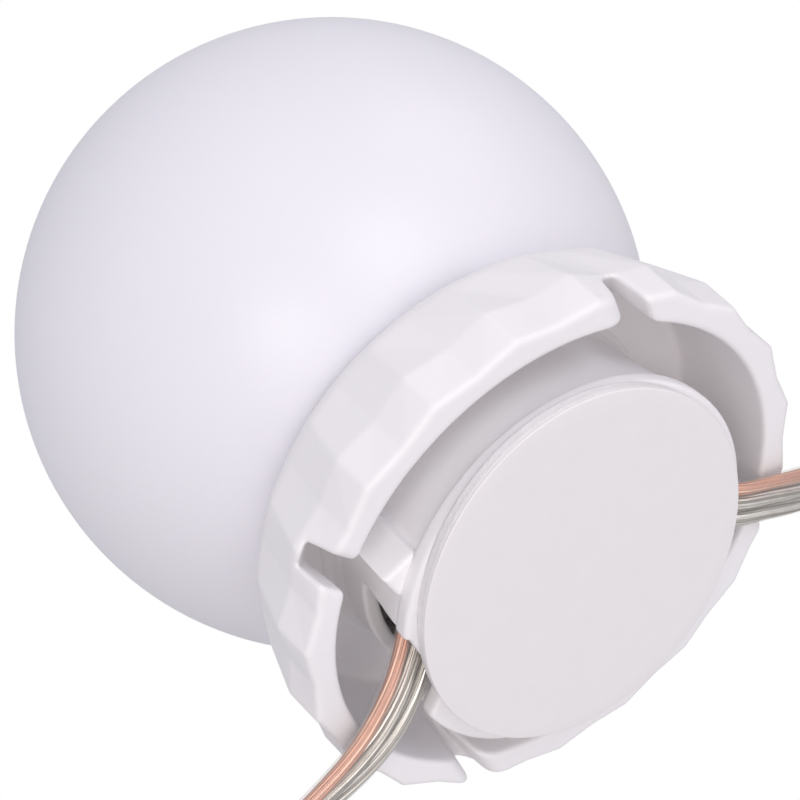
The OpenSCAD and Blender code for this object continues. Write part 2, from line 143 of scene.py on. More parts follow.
M = {
    "globe": material("frosted_globe", (0.872, 0.846, 0.892), 0.34,
                      vary=0.010, scale=60, bump=0.000004, bump_scale=2600,
                      rough_vary=0.02, subsurface=0.30, sss_radius=0.002,
                      specular=0.44),
    "housing": material("white_housing", (0.925, 0.902, 0.908), 0.48,
                        vary=0.015, scale=180, bump=0.000008,
                        bump_scale=1500, rough_vary=0.04, specular=0.36),
    # hub: the housing's white plastic painted lighter, painted light that
    # brightens the hub wall in the shaded channel
    "hub": material("white_hub_painted_light", (0.965, 0.945, 0.950), 0.46, vary=0.012,
                    scale=180, bump=0.000008, bump_scale=1500,
                    rough_vary=0.04, specular=0.40),
    "foam": material("foam", (0.86, 0.84, 0.845), 0.9, vary=0.03, scale=900,
                     bump=0.00006, bump_scale=4200, rough_vary=0.05,
                     specular=0.2),
    "liner": material("liner", (0.876, 0.842, 0.840), 0.72, vary=0.010,
                      scale=400, bump=0.000006, bump_scale=3000,
                      rough_vary=0.04, specular=0.3),
    "tie": material("tie_film", (0.86, 0.86, 0.87), 0.28, vary=0.03,
                    scale=500, bump=0.00002, bump_scale=700),
    "alu": material("aluminium_board", (0.80, 0.81, 0.79), 0.38, vary=0.03,
                    scale=350, bump=0.00001, bump_scale=1200),
    "warm": material("led_warm", (0.86, 0.60, 0.14), 0.28, vary=0.08,
                     scale=900, bump=0.00001, subsurface=0.2),
    "cool": material("led_cool", (0.86, 0.80, 0.30), 0.28, vary=0.08,
                     scale=900, bump=0.00001, subsurface=0.2),
    "chip": material("chip_black", (0.022, 0.022, 0.025), 0.5, vary=0.2,
                     scale=1200, bump=0.000015, bump_scale=2500),
    "zinc": material("zinc_screw", (0.60, 0.61, 0.64), 0.28, vary=0.08,
                     scale=700, bump=0.00001, metallic=1.0),
    "solder": material("solder", (0.64, 0.65, 0.67), 0.24, vary=0.08,
                       scale=900, bump=0.00002, metallic=1.0),
    "brass": material("pin_brass", (0.80, 0.60, 0.28), 0.24, vary=0.08,
                      scale=700, bump=0.000008, metallic=1.0),
    "green": material("green_board", (0.025, 0.16, 0.065), 0.32, vary=0.12,
                      scale=420, bump=0.00001, bump_scale=900),
    "button": material("button_grey", (0.62, 0.63, 0.66), 0.36, vary=0.03,
                       scale=400, bump=0.000008, bump_scale=1800),
    "steel": material("usb_steel", (0.60, 0.61, 0.63), 0.26, vary=0.07,
                      scale=240, bump=0.00001, bump_scale=700,
                      metallic=1.0, stretch=(0.06, 1, 1)),
    "black": material("switch_black", (0.03, 0.03, 0.033), 0.42, vary=0.15,
                      scale=900, bump=0.00001),
    "tongue": material("usb_tongue_white", (0.84, 0.84, 0.82), 0.4,
                       vary=0.02, scale=500, bump=0.00001),
    "copper": material("core_copper", (0.72, 0.35, 0.23), 0.42, vary=0.10,
                       scale=1400, bump=0.000006, bump_scale=2600,
                       metallic=1.0),
    # a paler copy of the copper: painted highlight on some strands
    "copper_painted_highlight": material("core_copper_painted_highlight", (0.84, 0.50, 0.36), 0.38,
                            vary=0.10, scale=1400, bump=0.000006,
                            bump_scale=2600, metallic=1.0),
    "tinned": material("core_tinned", (0.72, 0.69, 0.62), 0.38, vary=0.12,
                       scale=1400, bump=0.000006, bump_scale=2600,
                       metallic=1.0),
    # a lighter copy of the tinned copper: painted highlight on some strands
    "tinned_painted_highlight": material("core_tinned_painted_highlight", (0.92, 0.89, 0.83), 0.30,
                              vary=0.06, scale=1400, bump=0.000006,
                              bump_scale=2600, metallic=1.0),
    # a dark copy of the tinned copper: painted shade between strands
    "tinned_painted_shade": material("core_tinned_painted_shade", (0.36, 0.33, 0.29), 0.42,
                            vary=0.12, scale=1400, bump=0.000006,
                            bump_scale=2600, metallic=1.0),
    "clear": material("clear_ribbon", (0.84, 0.825, 0.79), 0.16, vary=0.04,
                      scale=500, bump=0.000010, bump_scale=420,
                      rough_vary=0.04, alpha=0.20),
}


# ------------------------------------------------------------- mesh tools ---
def add_mesh(name, verts, faces, mats, smooth=True, groups=None):
    """verts in mm; faces a list or an (n, 4) array; groups per face."""
    me = bpy.data.meshes.new(name)
    v = np.asarray(verts, float) * MM
    if isinstance(faces, np.ndarray):
        n, k = faces.shape
        me.vertices.add(len(v))
        me.vertices.foreach_set("co", v.ravel())
        me.loops.add(n * k)
        me.loops.foreach_set("vertex_index", faces.astype(np.int32).ravel())
        me.polygons.add(n)
        me.polygons.foreach_set("loop_start",
                                np.arange(0, n * k, k, dtype=np.int32))
        me.update(calc_edges=True)
    else:
        me.from_pydata(v.tolist(), [], faces)
        me.update()
    if isinstance(mats, (list, tuple)):
        for m in mats:
            me.materials.append(m)
    else:
        me.materials.append(mats)
    if groups is not None:
        me.polygons.foreach_set("material_index",
                                np.asarray(groups, dtype=np.int32))
    me.polygons.foreach_set("use_smooth", [bool(smooth)] * len(me.polygons))
    me.validate()
    ob = bpy.data.objects.new(name, me)
    scene.collection.objects.link(ob)
    return ob


def stand_for(ob, body, node):
    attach(ob, body)
    if node:
        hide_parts(*([node] if isinstance(node, str) else node))
    return ob


def smin(a, b, k):
    h = np.clip(0.5 + 0.5 * (b - a) / k, 0.0, 1.0)
    return b * (1 - h) + a * h - k * h * (1 - h)


def smax(a, b, k):
    return -smin(-a, -b, k)


CORNERS = [(i, j, k) for i in (0, 1) for j in (0, 1) for k in (0, 1)]
CELL_EDGES = [(a, b) for a in range(8) for b in range(a + 1, 8)
              if sum(abs(CORNERS[a][i] - CORNERS[b][i]) for i in range(3)) == 1]


def surface_nets(f, wrap):
    """Vertices in grid units and quads of the zero surface of f."""
    g = np.concatenate([f, f[:1]], 0) if wrap else f
    inside = g < 0
    c = tuple(n - 1 for n in g.shape)
    total = np.zeros(c, np.int8)
    for i, j, k in CORNERS:
        total += inside[i:i + c[0], j:j + c[1], k:k + c[2]]
    act = np.argwhere((total > 0) & (total < 8))
    index = np.full(c, -1, np.int64)
    index[tuple(act.T)] = np.arange(len(act))
    val = [g[act[:, 0] + i, act[:, 1] + j, act[:, 2] + k]
           for i, j, k in CORNERS]
    pos = np.zeros((len(act), 3))
    cnt = np.zeros(len(act))
    for a, b in CELL_EDGES:
        va, vb = val[a], val[b]
        hit = (va < 0) != (vb < 0)
        t = np.where(hit, va / np.where(hit, va - vb, 1.0), 0.0)
        pa, pb = np.array(CORNERS[a], float), np.array(CORNERS[b], float)
        pos += hit[:, None] * (pa + t[:, None] * (pb - pa))
        cnt += hit
    pos = pos / cnt[:, None] + act
    quads = []
    for ax in range(3):
        o1, o2 = (ax + 1) % 3, (ax + 2) % 3
        sl0 = [slice(None)] * 3
        sl1 = [slice(None)] * 3
        sl0[ax], sl1[ax] = slice(0, -1), slice(1, None)
        lo, hi = inside[tuple(sl0)], inside[tuple(sl1)]
        e = np.argwhere(lo != hi)
        if wrap:
            e = e[e[:, 0] < c[0]]
        keep = np.ones(len(e), bool)
        for o in (o1, o2):
            if not (wrap and o == 0):
                keep &= (e[:, o] > 0) & (e[:, o] < c[o])
        e = e[keep]
        if not len(e):
            continue
        up = lo[tuple(e.T)]
        corner = []
        for d1, d2 in ((-1, -1), (0, -1), (0, 0), (-1, 0)):
            q = e.copy()
            q[:, o1] += d1
            q[:, o2] += d2
            if wrap:
                q[:, 0] %= c[0]
            corner.append(index[tuple(q.T)])
        quad = np.stack(corner, 1)
        quad[~up] = quad[~up][:, ::-1]
        quads.append(quad)
    return pos, np.concatenate(quads)


def settle(p, field, rounds=4, h=0.02, cap=0.2):
    """Moves points onto the field's zero surface."""
    for _ in range(rounds):
        f0 = field(p)
        gr = np.stack([(field(p + d) - field(p - d)) / (2 * h)
                       for d in np.eye(3) * h], 1)
        g2 = np.maximum((gr * gr).sum(1), 0.15)
        step = np.clip(f0 / g2, -cap, cap)
        p = p - step[:, None] * gr
    return p


def cyl_solid(name, field, r_span, z_span, n_t, dr, dz, mat):
    """Polygonises field(points) on a cylindrical grid round Z."""
    t = np.arange(n_t) * 2 * math.pi / n_t
    r = np.arange(r_span[0], r_span[1] + dr, dr)
    z = np.arange(z_span[0], z_span[1] + dz, dz)
    T, R, Z = np.meshgrid(t, r, z, indexing="ij")
    pts = np.stack([R * np.cos(T), R * np.sin(T), Z], -1).reshape(-1, 3)
    f = field(pts).reshape(T.shape)
    g, quads = surface_nets(f, True)
    th = g[:, 0] * 2 * math.pi / n_t
    rr = r_span[0] + g[:, 1] * dr
    p = np.stack([rr * np.cos(th), rr * np.sin(th),
                  z_span[0] + g[:, 2] * dz], 1)
    return add_mesh(name, settle(p, field), quads, mat)


def box_solid(name, field, lo, hi, d, mat):
    axes = [np.arange(a, b + s, s) for a, b, s in zip(lo, hi, d)]
    G = np.stack(np.meshgrid(*axes, indexing="ij"), -1)
    f = field(G.reshape(-1, 3)).reshape(G.shape[:3])
    g, quads = surface_nets(f, False)
    p = np.array(lo) + g * np.array(d)
    return add_mesh(name, settle(p, field), quads, mat)


# ------------------------------------------------------------------ cords ---
RIBBON_W, RIBBON_T, PITCH = 4.6, 1.55, 1.52

FEED_ROUTE = [
    (-1.0, -4.8, 6.3, 0), (-3.8, -6.2, 6.3, 0), (-6.6, -6.7, 6.1, -2),
    (-9.0, -6.4, 5.0, -6), (-11.2, -5.6, 4.0, -10), (-13.3, -4.7, 3.1, -9),
    (-15.5, -4.0, 2.3, -5), (-18.0, -3.4, 1.75, -4), (-21.0, -3.2, 1.4, -8),
    (-24.7, -3.2, 1.45, -15), (-28.5, -3.4, 1.75, -26),
    (-33.0, -3.6, 2.15, -42), (-38.0, -3.7, 2.6, -60),
    (-43.0, -3.7, 2.8, -78), (-48.0, -3.6, 2.85, -90),
    (-52.5, -3.6, 2.85, -90)]
LEAD_ROUTE = [
    (-85.6, 31, 7.0, -90), (-85.6, 36, 6.0, -90), (-85.6, 42, 4.6, -90),
    (-85.6, 48, 3.4, -90), (-85.5, 53.5, 2.8, -90), (-84.0, 59.5, 2.7, -90),
    (-79.6, 63.9, 2.9, -90), (-74.5, 65.4, 3.8, -90), (-70.0, 65.5, 4.6, -90),
    (-67.0, 65.5, 4.9, -90)]
LINK_ROUTE = [
    (3.0, 3.0, 6.3, 0), (6.2, 6.2, 6.3, 0), (8.6, 8.6, 5.6, 0),
    (10.6, 10.5, 4.0, 0), (12.4, 11.9, 2.7, 0), (14.7, 13.5, 1.95, 0),
    (17.0, 15.3, 1.45, 0), (20.0, 17.6, 1.3, 0), (23.2, 20.1, 1.4, 12),
    (26.4, 22.6, 1.9, 35), (29.6, 25.1, 2.6, 65), (32.5, 27.4, 2.85, 90)]


def feed_coil():
    """Nine and a quarter turns in two layers, clockwise."""
    out, total = [], 9.25 * 360
    for a in np.arange(0, total + 1, 12.0):
        turned = a / 360.0
        if turned <= 4.625:
            r = 28.6 - 8.1 * turned / 4.625
        else:
            r = 20.5 + 8.1 * (turned - 4.625) / 4.625
        s = np.clip((turned - 4.5) / 0.25, 0, 1)
        z = 2.85 + 4.65 * s * s * (3 - 2 * s)
        f = math.radians(-90 - a)
        out.append((-57 + r * math.cos(f), 25 + r * math.sin(f), z, -90))
    return out


def link_coil():
    out = []
    for a in np.arange(0, 721, 12.0):
        r = 26.0 - 3.5 * a / 720
        f = math.radians(128 - a)
        out.append((54.3 + r * math.cos(f), 11.4 + r * math.sin(f),
                    2.85, 90))
    start = math.degrees(math.atan2(29.1 - 20.3, 40.45 - 47.4))
    for a in np.arange(20, 181, 20.0):
        f = math.radians(start - a)
        s = a / 180
        out.append((47.4 + 11.25 * math.cos(f), 20.3 + 11.25 * math.sin(f),
                    2.85 + 1.15 * s * s * (3 - 2 * s), 90))
    out.append((54.3 + 2.0 * math.cos(math.radians(218)),
                11.4 + 2.0 * math.sin(math.radians(218)), 4.0, 90))
    return out


def smooth_path(pts, step):
    """Centripetal curve through the points, in nearly even steps."""
    p = np.asarray(pts, float)
    ext = np.vstack([2 * p[0] - p[1], p, 2 * p[-1] - p[-2]])
    out = []
    for i in range(1, len(ext) - 2):
        p0, p1, p2, p3 = ext[i - 1:i + 3]
        k = [0.0]
        for a, b in ((p0, p1), (p1, p2), (p2, p3)):
            k.append(k[-1] + max(np.linalg.norm((b - a)[:3]), 1e-6) ** 0.5)
        n = max(1, int(round(np.linalg.norm((p2 - p1)[:3]) / step)))
        for t in np.linspace(k[1], k[2], n, endpoint=False):
            a1 = (k[1] - t) / k[1] * p0 + t / k[1] * p1
            a2 = ((k[2] - t) * p1 + (t - k[1]) * p2) / (k[2] - k[1])
            a3 = ((k[3] - t) * p2 + (t - k[2]) * p3) / (k[3] - k[2])
            b1 = ((k[2] - t) * a1 + t * a2) / k[2]
            b2 = ((k[3] - t) * a2 + (t - k[1]) * a3) / (k[3] - k[1])
            out.append(((k[2] - t) * b1 + (t - k[1]) * b2) / (k[2] - k[1]))
    out.append(p[-1])
    return np.array(out)


def frames(path):
    """Position, width direction and thickness direction of each ring."""
    p = path[:, :3]
    t = np.gradient(p, axis=0)
    t /= np.linalg.norm(t, axis=1)[:, None]
    s = np.cross(t, [0, 0, 1.0])
    s /= np.linalg.norm(s, axis=1)[:, None]
    u = np.cross(s, t)
    a = np.radians(path[:, 3])[:, None]
    x = -np.cos(a) * s + np.sin(a) * u
    y = np.sin(a) * s + np.cos(a) * u
    return p, x, y


def insulation_section(n_side=14):
    """Half thickness along the width: three lobes joined by a web."""
    half = PITCH + 0.70
    q = np.linspace(0, math.pi, n_side + 1)
    x = -half * np.cos(q)
    y = np.zeros_like(x)
    for c in (-PITCH, 0.0, PITCH):
        y = np.maximum(y, np.sqrt(np.maximum(0, 0.70 ** 2 - (x - c) ** 2)))
    mid = np.abs(x) < PITCH + 0.2
    y[mid] = np.maximum(y[mid], 0.50)
    top = np.stack([x, y], 1)
    low = np.stack([x[::-1], -y[::-1]], 1)[1:-1]
    return np.vstack([top, low])


def sweep(path, section, close=True):
    """section: (k, 2) or (n, k, 2) in the ring's own axes."""
    p, x, y = frames(path)
    sec = np.asarray(section, float)
    if sec.ndim == 2:
        sec = np.broadcast_to(sec, (len(p),) + sec.shape)
    v = (p[:, None] + sec[..., :1] * x[:, None] + sec[..., 1:] * y[:, None])
    n, k = v.shape[:2]
    i, j = np.meshgrid(np.arange(n - 1), np.arange(k), indexing="ij")
    a = (i * k + j).ravel()
    b = (i * k + (j + 1) % k).ravel()
    quads = np.stack([a, b, b + k, a + k], 1)
    faces = quads.tolist()
    if close:
        faces.append(list(range(k))[::-1])
        faces.append(list(range((n - 1) * k, n * k)))
    return v.reshape(-1, 3), faces


def strand_section(path, centre, lobes, r0, depth, per, lay, phase):
    """A stranded core's outline, turned along its length."""
    p = path[:, :3]
    run = np.concatenate([[0], np.cumsum(np.linalg.norm(np.diff(p, axis=0),
                                                        axis=1))])
    k = lobes * per
    a = np.arange(k) * 2 * math.pi / k
    turn = run[:, None] * 2 * math.pi / lay + phase
    # round strands side by side: cusps between them
    r = r0 - depth * (1 - np.abs(np.cos(a * lobes / 2)))
    ang = a[None] + turn
    return np.stack([centre + r[None] * np.cos(ang),
                     r[None] * np.sin(ang)], -1)


def ribbon(name, pts, near, copper_side):
    """Insulation and three stranded cores in one mesh. near: mm of fine
    detail at the lamp's end."""
    pts = np.asarray(pts, float)
    fine = smooth_path(pts, 0.7)
    run = np.concatenate([[0], np.cumsum(np.linalg.norm(
        np.diff(fine[:, :3], axis=0), axis=1))])
    keep = [0]
    for i in range(1, len(fine)):
        want = 0.7 if run[i] < near else 2.1
        if run[i] - run[keep[-1]] >= want - 1e-6:
            keep.append(i)
    if keep[-1] != len(fine) - 1:
        keep.append(len(fine) - 1)
    path = fine[keep]
    verts, faces, groups = [], [], []
    base = 0
    parts = [(sweep(path, insulation_section()), 0)]
    for i, c in enumerate((-PITCH, 0.0, PITCH)):
        if i == (2 if copper_side > 0 else 0):
            sec = strand_section(path, c, 12, 0.52, 0.11, 4, 80.0, 0.4)
            # tones pick a material for each strand: 2 is the pale copper,
            # painted highlight along some strands
            tones = (1, 1, 2, 1, 1, 1, 2, 1, 1, 2, 1, 1)
        else:
            sec = strand_section(path, c, 14, 0.63, 0.12, 4, 64.0, 0.7 * i)
            # tones pick a material for each strand: 4 is painted highlight and
            # 5 is painted shade, in stripes along the core
            tones = (3, 5, 4, 3, 5, 3, 3, 5, 4, 3, 5, 3, 5, 4)
        parts.append((sweep(path, sec), tones))
    for (v, f), g in parts:
        verts.append(v)
        faces += [[q + base for q in face] for face in f]
        if g == 0:
            groups += [0] * len(f)
        else:
            k = 4 * len(g)
            n_side = (len(path) - 1) * k
            groups += [g[((j + 2) % k) // 4] for j in range(n_side)]
            groups += [g[0]] * (len(f) - n_side)
        base += len(v)
    # materials 2, 4 and 5 are painted highlight and painted shade copies of the
    # core metals
    ob = add_mesh(name, np.vstack(verts), faces,
                  [M["clear"], M["copper"], M["copper_painted_highlight"], M["tinned"],
                   M["tinned_painted_highlight"], M["tinned_painted_shade"]], groups=groups)
    length = run[-1]
    line = [tuple(q * MM) for q in pts[:, :3]]
    return ob, length, line


feed_pts = FEED_ROUTE + feed_coil() + LEAD_ROUTE
link_pts = LINK_ROUTE + link_coil()
feed, feed_len, feed_line = ribbon("feed_cord", feed_pts, 75, 1)
link, link_len, link_line = ribbon("link_cord", link_pts, 60, -1)
print("feed", round(feed_len, 1), "link", round(link_len, 1))
stand_for(feed, "lamp_base", ["feed_ribbon", "feed_coil"])
stand_for(link, "lamp_base", ["link_ribbon", "link_coil"])


# ----------------------------------------------------------------- collar ---
RIM_Z, RIM_R, WEB_Z, BOARD_Z, LIP_Z = 3.0, 19.54, 13.0, 14.4, 15.4
LUGS = (30, 150, 270)
BOSSES = (-5, 115, -125)
# direction, start along it, middle and half width across it at the rim and
# at the closed end, and how much each of the two mouth corners is rounded
SLOTS = ((-77, 14.2, 12.0, 0.90, 12.25, 0.60, 1.7, 0.5),
         (-105, 17.2, -6.4, 1.15, -6.9, 0.98, 0.5, 0.7),
         (103, 12.4, 14.1, 0.80, 14.2, 0.50, 1.3, 1.0),
         (77, 15.8, -9.9, 0.90, -9.9, 0.60, 1.0, 1.0))
RIDGES = (3.0, 14.3)    # angle of a ridge, modulo 18, in the two segments


def turn_off(th, a):
    """Signed angle from a, in degrees."""
    return (th - a + 180.0) % 360.0 - 180.0


def facet_table():
    """Outer radius over one 18 degree period, on a fine grid."""
    # rings: height, radius on a ridge (line 1) and in a valley
    rings = [(-2.0, 21.10, 20.70), (2.8, 22.00, 21.45), (6.6, 22.32, 21.56),
             (12.0, 21.08, 20.82), (17.6, 19.64, 19.64)]
    nu, z0, z1, dz = 360, 1.5, 18.5, 0.05
    zs = np.arange(z0, z1 + dz / 2, dz)
    us = np.arange(nu) * 18.0 / nu              # degrees past a valley
    U, Z = np.meshgrid(us, zs, indexing="ij")
    R = np.zeros_like(U)

    def at(ring, line):
        """line 0, 1, 2: the lines at -9, 0 and +9 degrees."""
        h, main, other = rings[ring]
        r = main if line == 1 else other
        a = math.radians(9.0 * line)
        return np.array([r * math.cos(a), r * math.sin(a), h])

    def put(mask, tri):
        a, b, c = tri
        n = np.cross(b - a, c - a)
        d = n @ a
        ang = np.radians(U[mask])
        R[mask] = ((d - n[2] * Z[mask])
                   / (n[0] * np.cos(ang) + n[1] * np.sin(ang)))

    for b in range(len(rings) - 1):
        h0, h1 = rings[b][0], rings[b + 1][0]
        for m in (0, 1):
            du = (U - 9.0 * m) / 9.0
            dv = (Z - h0) / (h1 - h0)
            cell = (du >= 0) & (du < 1) & (dv >= 0) & (dv < 1)
            if b == len(rings) - 1:
                cell |= (du >= 0) & (du < 1) & (dv >= 1)
            if b < 2:       # diagonal from top right to bottom left
                low = cell & (dv < du)
                up = cell & (dv >= du)
                put(low, (at(b, m), at(b, m + 1), at(b + 1, m + 1)))
                put(up, (at(b, m), at(b + 1, m + 1), at(b + 1, m)))
            else:           # diagonal from bottom right to top left
                low = cell & (dv < 1 - du)
                up = cell & (dv >= 1 - du)
                put(low, (at(b, m), at(b, m + 1), at(b + 1, m)))
                put(up, (at(b, m + 1), at(b + 1, m + 1), at(b + 1, m)))
    R[R == 0] = 19.45
    # soften the creases
    sig_u = 0.11 / (22.0 * math.radians(18.0 / nu))
    k = np.arange(-int(3 * sig_u), int(3 * sig_u) + 1)
    w = np.exp(-0.5 * (k / sig_u) ** 2)
    w /= w.sum()
    R = sum(wi * np.roll(R, int(ki), 0) for wi, ki in zip(w, k))
    sig_v = 0.11 / dz
    k = np.arange(-int(3 * sig_v), int(3 * sig_v) + 1)
    w = np.exp(-0.5 * (k / sig_v) ** 2)
    w /= w.sum()
    P = np.pad(R, ((0, 0), (len(k) // 2, len(k) // 2)), mode="edge")
    R = sum(wi * P[:, i:i + R.shape[1]] for i, wi in enumerate(w))
    return R, nu, z0, dz


FACETS, F_NU, F_Z0, F_DZ = facet_table()


def facet_radius(th, z, ridge):
    u = ((th - ridge + 9.0) % 18.0) * F_NU / 18.0
    i = np.floor(u).astype(int)
    fu = u - i
    v = np.clip((z - F_Z0) / F_DZ, 0, FACETS.shape[1] - 1.001)
    j = np.floor(v).astype(int)
    fv = v - j
    i0, i1 = i % F_NU, (i + 1) % F_NU
    return ((FACETS[i0, j] * (1 - fu) + FACETS[i1, j] * fu) * (1 - fv)
            + (FACETS[i0, j + 1] * (1 - fu) + FACETS[i1, j + 1] * fu) * fv)


def outer_radius(th, z):
    w = np.clip((48.0 - np.abs(turn_off(th, 97.0))) / 7.0 + 0.5, 0, 1)
    w = w * w * (3 - 2 * w)
    flare = (0.45 * np.clip(np.cos(np.radians(turn_off(th, 95.0))), 0, 1)
             * np.clip((8.0 - z) / 4.0, 0, 1))
    return (facet_radius(th, z, RIDGES[0]) * (1 - w)
            + facet_radius(th, z, RIDGES[1]) * w + flare)


def collar_field(p):
    x, y, z = p.T
    r = np.hypot(x, y)
    th = np.degrees(np.arctan2(y, x))
    f = (r - outer_radius(th, z)) * 0.97
    # the shoulder that the ball sits in
    f = smax(f, (r + z - 33.3) * 0.7071, 0.6)
    f = smax(f, z - LIP_Z, 0.12)
    # channel and hole below the web, socket above it
    channel = smax(r - (RIM_R - 0.012 * (z - RIM_Z)), z - WEB_Z, 0.7)
    f = smax(f, -channel, 0.2)
    f = smax(f, -smax(r - 17.65, BOARD_Z - z, 0.1), 0.15)
    f = smax(f, -np.maximum.reduce([r - 17.65, 15.7 - r, 13.8 - z]), 0.15)
    f = smax(f, 9.0 - r, 0.3)
    # slots, and the open side below the rim, as one space with round corners
    gap = z - RIM_Z
    for d, x0, s0, h0, s1, h1, k0, k1 in SLOTS:
        t = math.radians(d)
        along = x * math.cos(t) + y * math.sin(t)
        across = y * math.cos(t) - x * math.sin(t)
        w = np.clip((z - 3.6) / 2.2, -0.5, 2.2)
        off = across - (s0 + (s1 - s0) * w)
        v = smax(np.abs(off) - (h0 + (h1 - h0) * w),
                 z - (5.75 + 1.1 * (22.1 - r)), 0.35)
        v = smax(v, x0 - along, 0.1)
        gap = smin(gap, v, np.where(off < 0, k0, k1))
    f = smax(f, -gap, 0.45)
    for a in LUGS:
        track = np.maximum.reduce([
            np.abs(turn_off(th, a + 12.5)) * 0.32 - 21.8 * 0.32,
            17.5 - r, r - 18.25, 13.83 - z, z - 14.68])
        way = np.maximum.reduce([
            np.abs(turn_off(th, a + 25)) * 0.32 - 10 * 0.32,
            17.5 - r, r - 18.2, 14.3 - z, z - 18.3])
        f = np.maximum(f, -np.minimum(track, way))
    for a in BOSSES:
        t = math.radians(a)
        d = np.hypot(x - 10.8 * math.cos(t), y - 10.8 * math.sin(t))
        f = smax(f, 1.15 - d, 0.15)
    return f


collar = cyl_solid("collar", collar_field, (8.7, 22.9), (2.5, 18.1),
                   680, 0.23, 0.21, M["housing"])
stand_for(collar, "lamp_base", "collar_skirt")


# -------------------------------------------------------------------- hub ---
def seg_dist(x, y, a, b):
    ax, ay = a
    bx, by = b
    t = ((x - ax) * (bx - ax) + (y - ay) * (by - ay)) / (
        (bx - ax) ** 2 + (by - ay) ** 2)
    t = np.clip(t, 0, 1)
    return np.hypot(x - ax - t * (bx - ax), y - ay - t * (by - ay))


def poly_field(x, y, pts):
    """Signed distance to a polygon, negative inside."""
    d = np.full_like(x, 1e9)
    inside = np.zeros(x.shape, bool)
    n = len(pts)
    for i in range(n):
        a, b = pts[i], pts[(i + 1) % n]
        d = np.minimum(d, seg_dist(x, y, a, b))
        cross = (a[1] > y) != (b[1] > y)
        with np.errstate(divide="ignore", invalid="ignore"):
            xi = a[0] + (y - a[1]) * (b[0] - a[0]) / (b[1] - a[1])
        inside ^= cross & (x < xi)
    return np.where(inside, -d, d)


WINDOWS = ((-158.5, 17), (45, 15))
BLOCK = [(-6.0, -12.0), (-6.9, -13.9), (-9.7, -14.1), (-9.9, -11.8),
         (-8.2, -10.8)]
CLAMPS = ((-3.4, -5.95, 109), (5.2, 5.2, 135))


def hub_field(p):
    x, y, z = p.T
    r = np.hypot(x, y)
    th = np.degrees(np.arctan2(y, x))
    outer = np.interp(z, [2.6, 3.2, 8.5, 13.0], [15.0, 15.0, 14.5, 14.3])
    wall = smax(r - outer, 13.3 - r, 0.25)
    wall = smax(wall, 2.6 - z, 0.3)
    # root fillet where the wall meets the collar's web
    wall = smin(wall, smax(np.abs(r - 14.2) - 0.3 - 0.8 * np.clip(
        (z - 11.6) / 1.4, 0, 1) ** 2, 11.6 - z, 0.3), 0.4)
    web = np.maximum.reduce([r - 14.0, 7.2 - r, (WEB_Z - 1.2) - z])
    f = smin(wall, web, 0.5)
    block = poly_field(x, y, BLOCK)
    block = smax(block + 0.2, 2.6 - z, 0.35) - 0.2
    block = smax(block, 13.3 - r, 0.2)
    f = smin(f, block, 0.35)
    for a in BOSSES:
        t = math.radians(a)
        d = np.hypot(x - 10.8 * math.cos(t), y - 10.8 * math.sin(t))
        f = smin(f, smax(d - 2.2, 8.0 - z, 0.2), 0.3)
    posts = []
    for cx, cy, a in CLAMPS:
        t = math.radians(a)
        for s in (-1, 1):
            px = cx + s * 4.35 * math.cos(t)
            py = cy + s * 4.35 * math.sin(t)
            d = np.hypot(x - px, y - py)
            f = smin(f, smax(d - 1.9, 5.4 - z, 0.2), 0.3)
            posts.append((d, 9.5))
    f = np.maximum(f, z - (WEB_Z - 0.02))
    for a, w in WINDOWS:
        win = smax(np.abs(np.radians(turn_off(th, a))) * 14.2
                   - math.radians(w) * 14.2, z - 7.8, 0.6)
        win = smax(win, 12.9 - r, 0.1)
        f = smax(f, -win, 0.25)
    for a in BOSSES:
        t = math.radians(a)
        d = np.hypot(x - 10.8 * math.cos(t), y - 10.8 * math.sin(t))
        f = np.maximum(f, -np.maximum(d - 0.95, 8.8 - z))
    for d, top in posts:
        f = np.maximum(f, -np.maximum(d - 0.95, z - top))
    return f


# the hub wears the lighter copy of the housing white: painted light in the
# shaded channel
hub = cyl_solid("hub", hub_field, (0.6, 18.0), (2.2, 13.4),
                480, 0.25, 0.25, M["hub"])
stand_for(hub, "lamp_base", "spool_hub")


# ---------------------------------------------------------------- end cap ---
NOTCH = [(-11.65, -9.1), (-12.55, -3.6), (-12.9, -2.2), (-15.4, -0.9),
         (-20.0, -0.9), (-20.0, -15.0), (-12.6, -10.6)]


def cap_field(p):
    x, y, z = p.T
    r = np.hypot(x, y)
    th = np.degrees(np.arctan2(y, x))
    c, s = math.cos(math.radians(115)), math.sin(math.radians(115))
    u, v = (x * c + y * s), (y * c - x * s)
    k0 = np.hypot(u / 16.3, v / 15.2)
    k1 = np.maximum(np.hypot(u / 16.3 ** 2, v / 15.2 ** 2), 1e-3)
    disc = smax(k0 * (k0 - 1) / k1, np.abs(z - 1.85) - 0.75, 0.4)
    spigot = np.maximum.reduce([r - 13.2, 12.2 - r, z - 4.0, 1.5 - z])
    f = smin(disc, spigot, 0.15)
    for a, w in WINDOWS:
        cut = np.maximum.reduce([
            np.abs(np.radians(turn_off(th, a))) * 13 - math.radians(w + 1) * 13,
            11.8 - r, 2.6 - z])
        f = smax(f, -cut, 0.15)
    # notches for the feed ribbon and for the link ribbon
    f = smax(f, -poly_field(x, y, NOTCH) - 0.0, 0.3)
    c, s = math.cos(math.radians(45)), math.sin(math.radians(45))
    u, v = x * c + y * s, -x * s + y * c
    n2 = smax(13.0 - u, np.abs(v) - 4.0, 0.6)
    f = smax(f, -n2, 0.3)
    return f


cap = box_solid("end_cap_moulding", cap_field, (-16.75, -16.75, 0.75),
                (16.75, 16.75, 4.4), (0.25, 0.25, 0.22), M["housing"])
stand_for(cap, "lamp_base", "end_cap")


